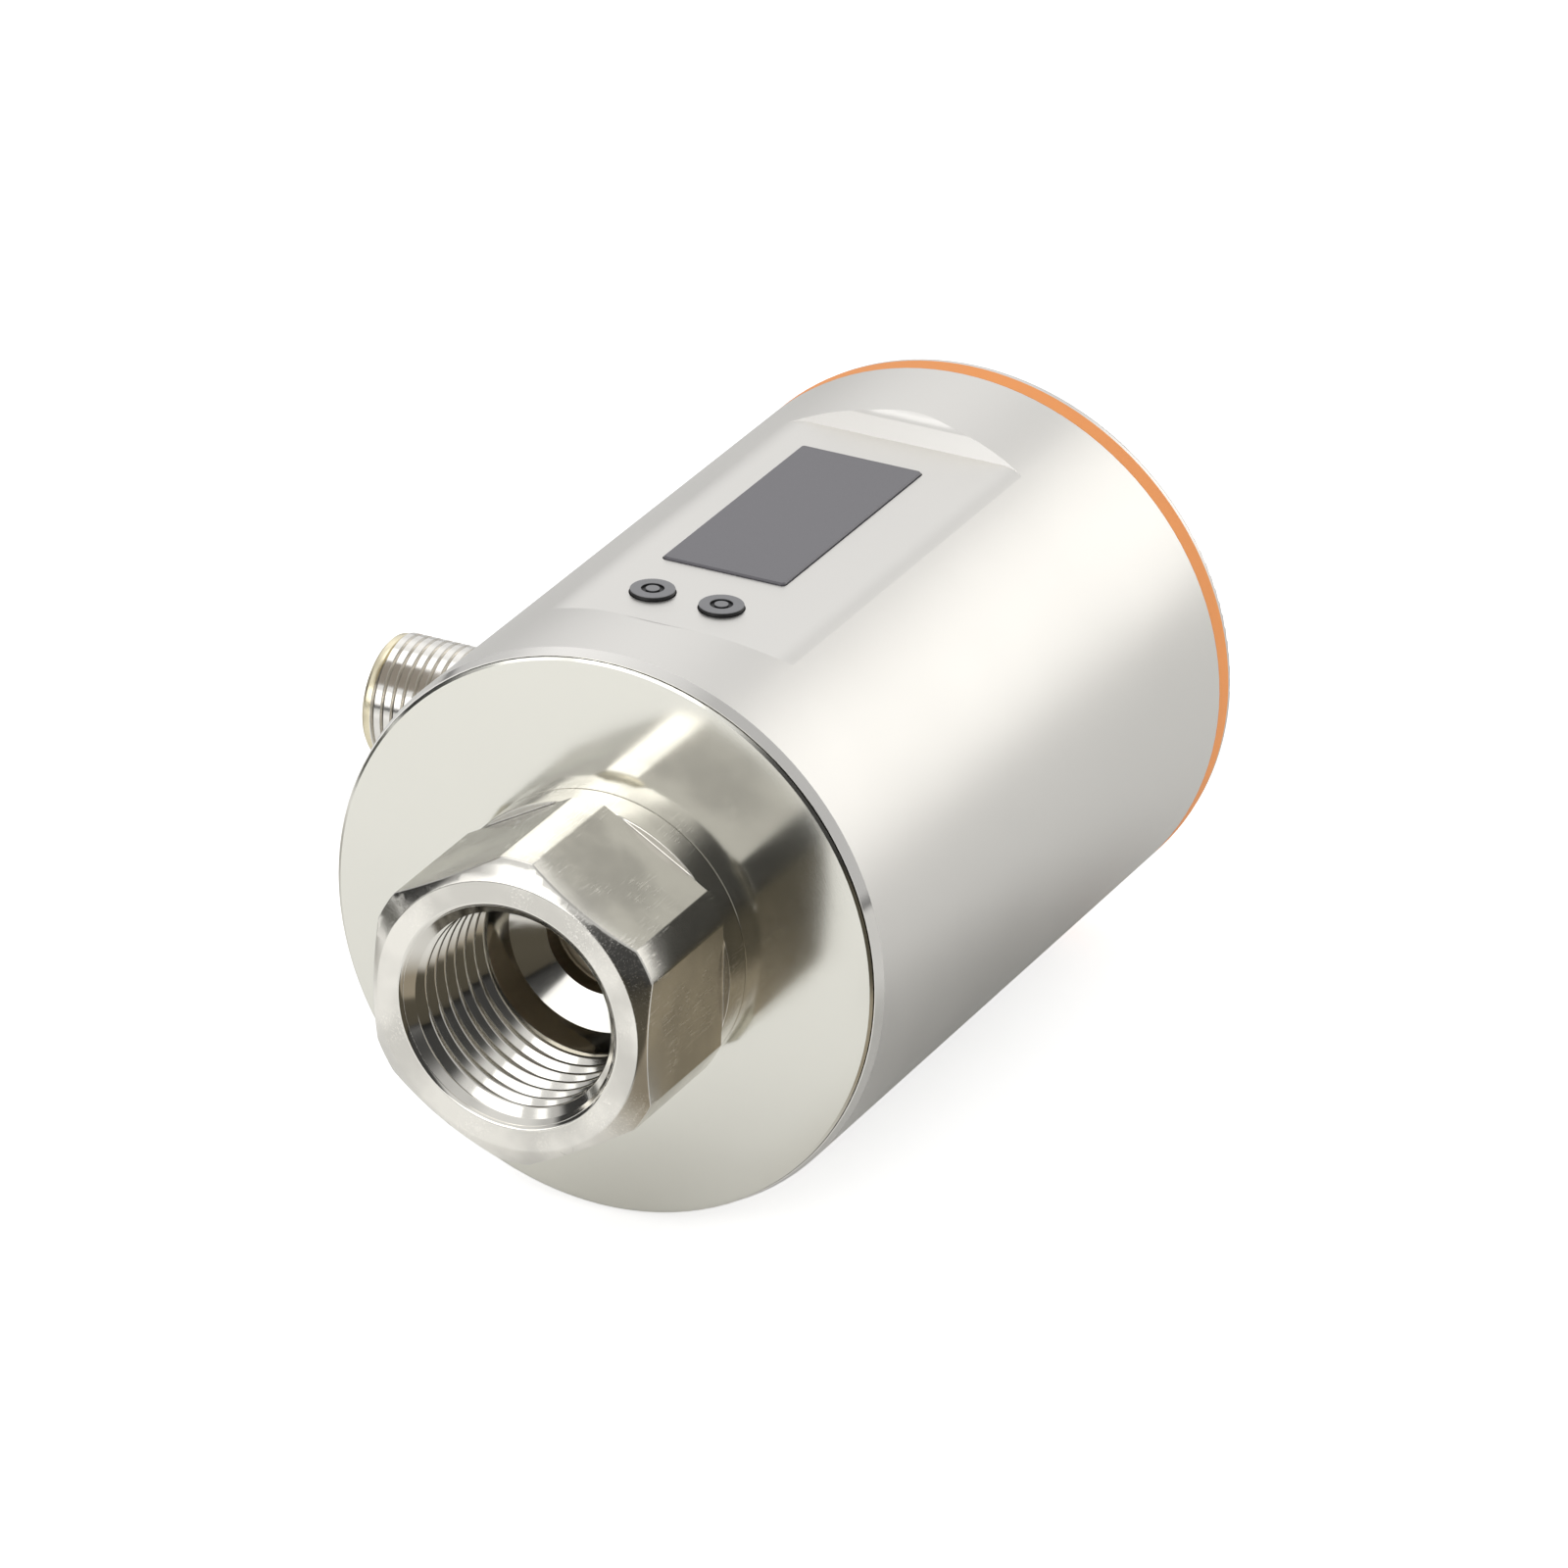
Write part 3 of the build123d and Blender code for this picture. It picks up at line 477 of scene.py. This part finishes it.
def smoked_pane(colour):
    """The smoked pane: an even grey with a hard coat and the faintest ripple."""
    def build(board):
        place = board.place()
        ripple = board.noise(place, scale=60, detail=2)
        dust = board.noise(place, scale=9000, detail=2)
        return {
            "Base Color": board.blend(ripple, scaled(colour, 0.97), scaled(colour, 1.03)),
            "Roughness": board.drift(dust, 0.30, 0.36),
            "Normal": board.bump(ripple, strength=0.1, distance=0.00002),
        }
    return finished(
        "smoked_pane", build, **{"IOR": 1.5, "Coat Weight": 0.25, "Coat Roughness": 0.05})


def only(piece):
    """Makes a piece the one selected and active object."""
    bpy.ops.object.select_all(action="DESELECT")
    piece.select_set(True)
    bpy.context.view_layer.objects.active = piece


@contextmanager
def editing(piece, mode="FACE"):
    """Edit mode on a piece, with nothing selected at the start."""
    only(piece)
    bpy.ops.object.mode_set(mode="EDIT")
    bpy.ops.mesh.select_mode(type=mode)
    bpy.ops.mesh.select_all(action="DESELECT")
    yield
    bpy.ops.object.mode_set(mode="OBJECT")


def pick(piece, kind, test):
    """Adds to the selection the verts, edges or faces that pass a test."""
    mesh = bmesh.from_edit_mesh(piece.data)
    for part in getattr(mesh, kind):
        if test(part):
            part.select_set(True)
    mesh.select_flush_mode()
    bmesh.update_edit_mesh(piece.data)


def modify(piece, kind, **settings):
    """Adds a modifier to a piece and applies it."""
    only(piece)
    modifier = piece.modifiers.new(kind.title(), kind)
    for key, value in settings.items():
        setattr(modifier, key, value)
    bpy.ops.object.modifier_apply(modifier=modifier.name)


def smooth(piece, angle):
    """Smooth shading up to an angle in degrees, led by the large faces."""
    only(piece)
    bpy.ops.object.shade_smooth_by_angle(angle=math.radians(angle))
    modify(piece, "WEIGHTED_NORMAL", keep_sharp=True, weight=50)


def dress(piece, material):
    """Gives a piece or a CAD node its material."""
    if piece.material_slots:
        for slot in piece.material_slots:
            slot.material = material
    else:
        piece.data.materials.append(material)


def finish_of(node):
    """The finish that a CAD node wears."""
    return frame["nodes"][node].active_material


def hand_over(piece, material, replaced=None, body="housing"):
    """Puts a finished piece on its body, in its finish and in the place of its CAD node."""
    dress(piece, material)
    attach(piece, body)
    if replaced:
        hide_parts(replaced)


def merged_copy(node, name):
    """A new piece from a CAD node's mesh, its triangles joined and its flat faces made whole."""
    piece = bpy.data.objects.new(name, frame["nodes"][node].data.copy())
    bpy.context.scene.collection.objects.link(piece)
    with editing(piece):
        bpy.ops.mesh.select_all(action="SELECT")
        bpy.ops.mesh.remove_doubles(threshold=TOUCHING)
        bpy.ops.mesh.dissolve_limited(angle_limit=math.radians(0.3))
    bpy.ops.mesh.customdata_custom_splitnormals_clear()
    return piece


def drawn_line(name, points, closed=False):
    """A line of edges drawn from a single vertex, point by point."""
    bpy.ops.object.select_all(action="DESELECT")
    bpy.ops.mesh.primitive_plane_add(size=0.001, location=points[0])
    piece = bpy.context.object
    piece.name = piece.data.name = name
    bpy.ops.object.transform_apply(location=True, rotation=True, scale=True)
    with editing(piece, "VERT"):
        bpy.ops.mesh.select_all(action="SELECT")
        bpy.ops.mesh.merge(type="CENTER")
        for start, end in zip(points, points[1:]):
            bpy.ops.mesh.extrude_vertices_move(
                TRANSFORM_OT_translate={"value": Vector(end) - Vector(start)})
        if closed:
            bpy.ops.mesh.select_all(action="DESELECT")
            pick(piece, "verts", lambda vertex: len(vertex.link_edges) < 2)
            bpy.ops.mesh.edge_face_add()
    return piece


def turned_ring(name, outline):
    """A closed outline of (x, radius) pairs turned round the X axis."""
    steps = 128
    piece = drawn_line(name, [(x, 0, radius) for x, radius in outline], closed=True)
    modify(piece, "SCREW", axis="X", steps=steps, render_steps=steps, use_merge_vertices=True,
           merge_threshold=TOUCHING)
    close_up(piece)
    return piece


def close_up(piece, gap=TOUCHING):
    """Joins vertices that are no further apart than a gap and turns all faces outwards."""
    with editing(piece):
        bpy.ops.mesh.select_all(action="SELECT")
        bpy.ops.mesh.remove_doubles(threshold=gap)
        bpy.ops.mesh.normals_make_consistent(inside=False)


def threaded_ring(name, thread, root, crest, back, pitch, start, end, steps):
    """A ring along X with a screw thread between root and crest and a plain back.

    One pitch of the thread is screwed along, cut square at both ends and closed behind."""
    near = 1e-6
    form = [
        (start - pitch + share * pitch, 0, root + depth * (crest - root))
        for share, depth in thread]
    piece = drawn_line(name, form)
    turns = math.ceil((end - start) / pitch) + 1
    modify(piece, "SCREW", axis="X", steps=steps, render_steps=steps, iterations=turns,
           screw_offset=pitch, use_merge_vertices=True, merge_threshold=TOUCHING)
    with editing(piece, "EDGE"):
        bpy.ops.mesh.select_all(action="SELECT")
        bpy.ops.mesh.remove_doubles(threshold=near)
        for place, inner in ((start, True), (end, False)):
            bpy.ops.mesh.select_all(action="SELECT")
            bpy.ops.mesh.bisect(
                plane_co=(place, 0, 0), plane_no=(1, 0, 0), clear_inner=inner,
                clear_outer=not inner, threshold=TOUCHING)
        for place in (start, end):
            bpy.ops.mesh.select_all(action="DESELECT")
            pick(piece, "edges", lambda edge: edge.is_boundary and all(
                abs(vertex.co.x - place) < near for vertex in edge.verts))
            bpy.ops.mesh.extrude_edges_move()
            mesh = bmesh.from_edit_mesh(piece.data)
            for vertex in mesh.verts:
                if vertex.select:
                    outward = Vector((0, vertex.co.y, vertex.co.z)).normalized()
                    vertex.co = Vector((place, 0, 0)) + back * outward
            bmesh.update_edit_mesh(piece.data)
        bpy.ops.mesh.select_all(action="DESELECT")
        pick(piece, "edges", lambda edge: edge.is_boundary)
        bpy.ops.mesh.bridge_edge_loops()
    close_up(piece)
    return piece


def cone_cut(piece, low_x, low_radius, high_x, high_radius):
    """Cuts a cone about the X axis out of a piece."""
    bpy.ops.object.select_all(action="DESELECT")
    bpy.ops.mesh.primitive_cone_add(
        vertices=180, radius1=low_radius, radius2=high_radius, depth=high_x - low_x,
        location=((low_x + high_x) / 2, 0, 0), rotation=(0, math.pi / 2, 0))
    cutter = bpy.context.object
    modify(piece, "BOOLEAN", operation="DIFFERENCE", solver="EXACT", object=cutter)
    bpy.data.objects.remove(cutter)
    close_up(piece, gap=0.000005)


def pipe_radius(vertex):
    """A vertex' distance from the pipe axis."""
    return math.hypot(vertex.co.y, vertex.co.z)


def copied(piece, name, matrix):
    """A copy of a piece, set elsewhere, with its own mesh."""
    copy = bpy.data.objects.new(name, piece.data.copy())
    copy.data.transform(matrix)
    bpy.context.scene.collection.objects.link(copy)
    return copy


class FLOWMETER_OT_finishes(bpy.types.Operator):
    """Gives every CAD node the procedural finish of its kind"""

    bl_idname = "flowmeter.finishes"
    bl_label = "Finishes"

    def execute(self, context):
        sizes = context.scene.flow_meter_sizes
        colours = context.scene.flow_meter_colours
        finishes = {
            "satin_steel": satin_steel(colours.shell, SHELL_FRONT + sizes.rim_bevel),
            "turned_steel": turned_steel(
                "turned_steel", colours.plate, roughness=0.12, strength=0.25),
            "accent_plastic": moulded(
                "accent_plastic", colours.accent, roughness=0.5, grain=3500, depth=0.00001,
                shine=0.1),
            "seal_rubber": moulded(
                "seal_rubber", (0.018, 0.018, 0.019), roughness=0.6, grain=2500, depth=0.00002),
            "liner_plastic": moulded(
                "liner_plastic", (0.55, 0.47, 0.34), roughness=0.45, grain=1800, depth=0.00001),
            "electrode_steel": plain_metal(
                "electrode_steel", (0.66, 0.65, 0.63), roughness=0.2),
            "soft_iron": plain_metal(
                "soft_iron", (0.34, 0.33, 0.32), roughness=0.42, grain=900),
            "copper_wire": wound_wire(),
            "frame_plastic": moulded(
                "frame_plastic", (0.03, 0.03, 0.033), roughness=0.5, grain=2200, depth=0.00002),
            "board_laminate": laminate(),
            "chip_resin": moulded(
                "chip_resin", (0.022, 0.022, 0.024), roughness=0.48, grain=5000, depth=0.00001),
            "screw_steel": plain_metal("screw_steel", (0.6, 0.59, 0.57), roughness=0.26),
            "window_pane": smoked_pane(colours.pane),
            "display_glass": moulded(
                "display_glass", (0.012, 0.014, 0.018), roughness=0.12, grain=800, depth=0.000002,
                coat=0.6),
            "button_plastic": button_plastic(colours.button),
            "connector_nickel": plain_metal("connector_nickel", colours.nickel, roughness=0.18),
            "contact_gold": plain_metal("contact_gold", colours.gold, roughness=0.24),
        }
        for part in frame["record"]["subparts"]:
            dress(frame["nodes"][part["node"]], finishes[part["material_slot"]])
        return {"FINISHED"}


class FLOWMETER_OT_fittings(bpy.types.Operator):
    """Models both pipe fittings: hexagons with broken edges, and the rounded pipe threads inside"""

    bl_idname = "flowmeter.fittings"
    bl_label = "Pipe fittings"

    def execute(self, context):
        sizes = context.scene.flow_meter_sizes
        colour = context.scene.flow_meter_colours.fitting
        milled = milled_steel(colour)
        cut = cut_steel(colour)
        sharp = math.radians(16)
        outside = sizes.pipe_mouth - 0.0001
        inside = sizes.pipe_mouth + 0.0003
        half_turn = (
            Matrix.Translation((MIDDLE, 0, 0)) @ Matrix.Rotation(math.pi, 4, "Z")
            @ Matrix.Translation((-MIDDLE, 0, 0)))
        for side in ("inlet", "outlet"):
            hexagon = merged_copy(f"{side}_fitting", f"{side}_hexagon")
            with editing(hexagon, "EDGE"):
                pick(hexagon, "edges", lambda edge: edge.calc_face_angle(0) > sharp and all(
                    pipe_radius(vertex) > outside for vertex in edge.verts))
                bpy.ops.mesh.bevel(offset=sizes.edge_break, segments=2)
            close_up(hexagon, gap=0.00002)
            smooth(hexagon, angle=31)
            hand_over(hexagon, milled, f"{side}_fitting")
            hexagon.data.materials.append(cut)
            with editing(hexagon):
                pick(hexagon, "faces", lambda face: all(
                    pipe_radius(vertex) < inside for vertex in face.verts))
                hexagon.active_material_index = 1
                bpy.ops.object.material_slot_assign()
        wall = 0.0003
        thread = threaded_ring(
            "inlet_thread", ROUNDED_THREAD, sizes.pipe_root, sizes.pipe_crest,
            back=sizes.pipe_root + wall, pitch=sizes.pipe_pitch,
            start=INLET_FACE + sizes.pipe_mouth - sizes.pipe_root,
            end=INLET_FACE + sizes.pipe_depth, steps=120)
        reach = 0.0018
        cone_cut(thread, INLET_FACE - reach, sizes.pipe_mouth + reach, INLET_FACE + reach,
                 sizes.pipe_mouth - reach)
        outlet = copied(thread, "outlet_thread", half_turn)
        for piece in (thread, outlet):
            smooth(piece, angle=30)
            hand_over(piece, cut)
        return {"FINISHED"}


class FLOWMETER_OT_accent(bpy.types.Operator):
    """Models the orange ring with softly rounded edges"""

    bl_idname = "flowmeter.accent"
    bl_label = "Accent ring"

    def execute(self, context):
        ring = merged_copy("accent_ring", "accent_band")
        modify(ring, "BEVEL", width=0.00018, segments=3, limit_method="ANGLE",
               angle_limit=math.radians(40))
        smooth(ring, angle=32)
        hand_over(ring, finish_of("accent_ring"), "accent_ring")
        return {"FINISHED"}


class FLOWMETER_OT_connector(bpy.types.Operator):
    """Models the cable connector: its barrel, its screw thread and the pale gold ring at its end"""

    bl_idname = "flowmeter.connector"
    bl_label = "Cable connector"

    def execute(self, context):
        sizes = context.scene.flow_meter_sizes
        to_side = Matrix.Translation((CONNECTOR_X, 0, 0)) @ Matrix.Rotation(math.pi / 2, 4, "Z")
        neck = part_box("housing_shell")[1].y
        outside = sizes.connector_crest - 0.0009
        core = sizes.connector_root - 0.0001
        barrel = merged_copy("connector_shell", "connector_barrel")
        for vertex in barrel.data.vertices:
            aside = Vector((vertex.co.x - CONNECTOR_X, 0, vertex.co.z))
            if vertex.co.y > neck and aside.length > outside:
                aside.length = core
                vertex.co = Vector((CONNECTOR_X, vertex.co.y, 0)) + aside
        smooth(barrel, angle=32)
        nickel = finish_of("connector_shell")
        hand_over(barrel, nickel, "connector_shell")
        shoulder = CONNECTOR_TIP - sizes.tip_length
        wall = 0.0002
        thread = threaded_ring(
            "connector_thread", FLAT_THREAD, sizes.connector_root, sizes.connector_crest,
            back=sizes.connector_root - wall, pitch=sizes.connector_pitch, start=neck + 0.0002,
            end=shoulder, steps=80)
        thread.data.transform(to_side)
        smooth(thread, angle=25)
        hand_over(thread, nickel)
        inner, outer = 0.0050, 0.0058
        rim_inner, rim_outer = 0.00475, 0.00535
        ring = turned_ring("connector_end_ring", (
            (shoulder, inner), (shoulder, outer - 0.0002), (shoulder + 0.0001, outer),
            (CONNECTOR_TIP - 0.00045, outer), (CONNECTOR_TIP - 0.00035, outer - 0.00004),
            (CONNECTOR_TIP, rim_outer), (CONNECTOR_TIP, rim_inner)))
        ring.data.transform(to_side)
        smooth(ring, angle=40)
        hand_over(ring, finish_of("connector_pins"))
        return {"FINISHED"}


class FLOWMETER_OT_studio(bpy.types.Operator):
    """Sets the camera, the pale floor, the soft lamps and the surroundings"""

    bl_idname = "flowmeter.studio"
    bl_label = "Studio"

    def execute(self, context):
        self.camera(context)
        self.floor()
        self.softbox("back_softbox", place=(1.10, -0.55, 0.44), size=(0.9, 0.9), power=2.4,
                     colour=(1.0, 0.985, 0.95))
        self.softbox("key_softbox", place=(-1.21, 0.54, 0.36), size=(1.36, 0.56), power=2.6)
        self.softbox("near_softbox", place=(-0.168, 0.062, 0.100), size=(0.11, 0.09), power=0.039)
        self.softbox("top_softbox", place=(0.10, 0.35, 1.30), size=(0.9, 0.9), power=1.9)
        self.softbox("fill_softbox", place=(0.30, -1.20, 0.50), size=(1.0, 1.0), power=2.0,
                     metal=False)
        self.flag("connector_flag", place=(0.0098, 0.0757, 0.081),
                  target=(CONNECTOR_X, CONNECTOR_TIP - 0.006, 0), size=(0.030, 0.074), roll=0.64)
        self.surroundings(context)
        context.scene.view_settings.view_transform = "Standard"
        return {"FINISHED"}

    def camera(self, context):
        """The photograph's view, from the front right and above."""
        lens = bpy.data.cameras.new("camera")
        lens.lens = 288.0
        lens.sensor_width = 36.0
        lens.clip_start = 0.01
        camera = bpy.data.objects.new("camera", lens)
        camera.matrix_world = Matrix.Translation(CAMERA_PLACE) @ Matrix(CAMERA_TURN).to_4x4()
        context.scene.collection.objects.link(camera)
        context.scene.camera = camera

    def floor(self):
        """A white floor that keeps the object's shadow; metal sees on it grey and dark patches of
        painted shade and the object's painted shadow.
        """
        bpy.ops.object.select_all(action="DESELECT")
        bpy.ops.mesh.primitive_plane_add(size=6.0, location=(0, 0, FLOOR))
        floor = bpy.context.object
        floor.name = "floor"
        material = bpy.data.materials.new("floor_white")
        material.use_nodes = True
        board = Board(material.node_tree)

        def plain_rectangle(low, high, soft):
            """The share of a rectangle between two corners, with a soft border."""
            share = 1.0
            for name, start, end in zip("XY", low, high):
                along = board.axis(board.place(), name)
                share = share * board.spread(along, start - soft, start + soft)
                share = share * board.spread(along, end + soft, end - soft)
            return share

        seen = board.node("ShaderNodeLightPath", output="Is Camera Ray")
        glossy = board.node("ShaderNodeLightPath", output="Is Glossy Ray")
        painted_reflection = FLOOR_PAINT
        # Painted reflection: grey and dark patches of painted shade, with the object's painted
        # shadow, seen only by glossy rays
        for low, high, soft, colour in FLOOR_PAINTED_SHADE:
            painted_reflection = board.blend(plain_rectangle(low, high, soft), painted_reflection, colour)
        # For glossy rays the floor takes the painted patches as its colour and also glows faintly
        # in them
        surface = board.node("ShaderNodeBsdfPrincipled", {}, {
            "Base Color": board.blend(glossy, (0.9, 0.9, 0.9), painted_reflection), "Roughness": 0.9,
            "Specular IOR Level": 0.0, "Emission Color": board.blend(glossy, (1, 1, 1), painted_reflection),
            "Emission Strength": 0.6 * seen + 0.15 * glossy})
        board.node("ShaderNodeOutputMaterial", {}, {"Surface": surface})
        dress(floor, material)

    def softbox(self, name, place, size, power, colour=(1, 1, 1), metal=True):
        """A soft lamp that faces the object; metal tells whether metal mirrors it."""
        lamp = bpy.data.lights.new(name, "AREA")
        lamp.shape = "RECTANGLE"
        lamp.size, lamp.size_y = size
        lamp.energy = power
        lamp.color = colour
        box = bpy.data.objects.new(name, lamp)
        box.location = place
        box.visible_glossy = metal
        towards = Vector((MIDDLE, 0, 0)) - Vector(place)
        box.rotation_euler = towards.to_track_quat("-Z", "Y").to_euler()
        bpy.context.scene.collection.objects.link(box)

    def flag(self, name, place, target, size, roll):
        """A dark card beside the camera's view, turned to a target, that only metal mirrors."""
        bpy.ops.object.select_all(action="DESELECT")
        bpy.ops.mesh.primitive_plane_add(size=1.0)
        plain_rectangle = bpy.context.object
        plain_rectangle.name = name
        towards = Vector(target) - Vector(place)
        turn = towards.to_track_quat("-Z", "Y").to_matrix().to_4x4() @ Matrix.Rotation(roll, 4, "Z")
        plain_rectangle.data.transform(Matrix.Translation(place) @ turn @ Matrix.Diagonal((*size, 1, 1)))
        plain_rectangle.visible_camera = plain_rectangle.visible_diffuse = plain_rectangle.visible_shadow = False
        dress(plain_rectangle, moulded(
            "flag_cloth", (0.34, 0.30, 0.25), roughness=0.9, grain=900, depth=0.00005, shine=0.1))

    def surroundings(self, context):
        """A white room with brighter and darker parts, which the camera sees as plain white."""
        world = context.scene.world or bpy.data.worlds.new("room")
        context.scene.world = world
        world.use_nodes = True
        board = Board(world.node_tree)
        heading = board.node("ShaderNodeTexCoord", output="Generated")

        def part(towards, wide, narrow):
            """The share of a round part of the room about a direction."""
            axis = Vector(towards).normalized()
            dot = board.node("ShaderNodeVectorMath", {"operation": "DOT_PRODUCT"},
                             {0: heading, 1: axis}, output="Value")
            return board.spread(dot, math.cos(math.radians(wide)), math.cos(math.radians(narrow)))

        seen = board.node("ShaderNodeLightPath", output="Is Camera Ray")
        height = board.axis(heading, "Z")
        level = ROOM_LIGHT
        for towards, light, wide, narrow in BRIGHT_PARTS:
            level = level + light * part(towards, wide, narrow)
        for towards, share, wide, narrow in DARK_PARTS:
            level = level * (1.0 - share * part(towards, wide, narrow))
        level = level * board.spread(height, low=0.0, high=0.07, out_low=0.25, out_high=1.0)
        strength = seen + (1.0 - seen) * level
        surface = board.node(
            "ShaderNodeBackground", {}, {"Color": (1, 1, 1, 1), "Strength": strength})
        board.node("ShaderNodeOutputWorld", {}, {"Surface": surface})


class FLOWMETER_PT_panel(bpy.types.Panel):
    """Lists the meter's pieces, sizes and colours"""

    bl_idname = "FLOWMETER_PT_panel"
    bl_label = "Flow meter"
    bl_space_type = "VIEW_3D"
    bl_region_type = "UI"
    bl_category = "Flow meter"

    def draw(self, context):
        for operator in OPERATORS:
            self.layout.operator(operator.bl_idname)
        for group in (context.scene.flow_meter_sizes, context.scene.flow_meter_colours):
            box = self.layout.box()
            for key in group.__annotations__:
                box.prop(group, key)


GROUPS = (FlowMeterSizes, FlowMeterColours)
OPERATORS = (
    FLOWMETER_OT_finishes,
    FLOWMETER_OT_fittings,
    FLOWMETER_OT_accent,
    FLOWMETER_OT_connector,
    FLOWMETER_OT_studio,
)


def register():
    for kind in (*GROUPS, *OPERATORS, FLOWMETER_PT_panel):
        bpy.utils.register_class(kind)
    bpy.types.Scene.flow_meter_sizes = bpy.props.PointerProperty(type=FlowMeterSizes)
    bpy.types.Scene.flow_meter_colours = bpy.props.PointerProperty(type=FlowMeterColours)


def unregister():
    del bpy.types.Scene.flow_meter_colours
    del bpy.types.Scene.flow_meter_sizes
    for kind in reversed((*GROUPS, *OPERATORS, FLOWMETER_PT_panel)):
        bpy.utils.unregister_class(kind)


def main():
    """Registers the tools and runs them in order."""
    register()
    bpy.ops.flowmeter.finishes()
    bpy.ops.flowmeter.fittings()
    bpy.ops.flowmeter.accent()
    bpy.ops.flowmeter.connector()
    bpy.ops.flowmeter.studio()


if __name__ == "__main__":
    main()
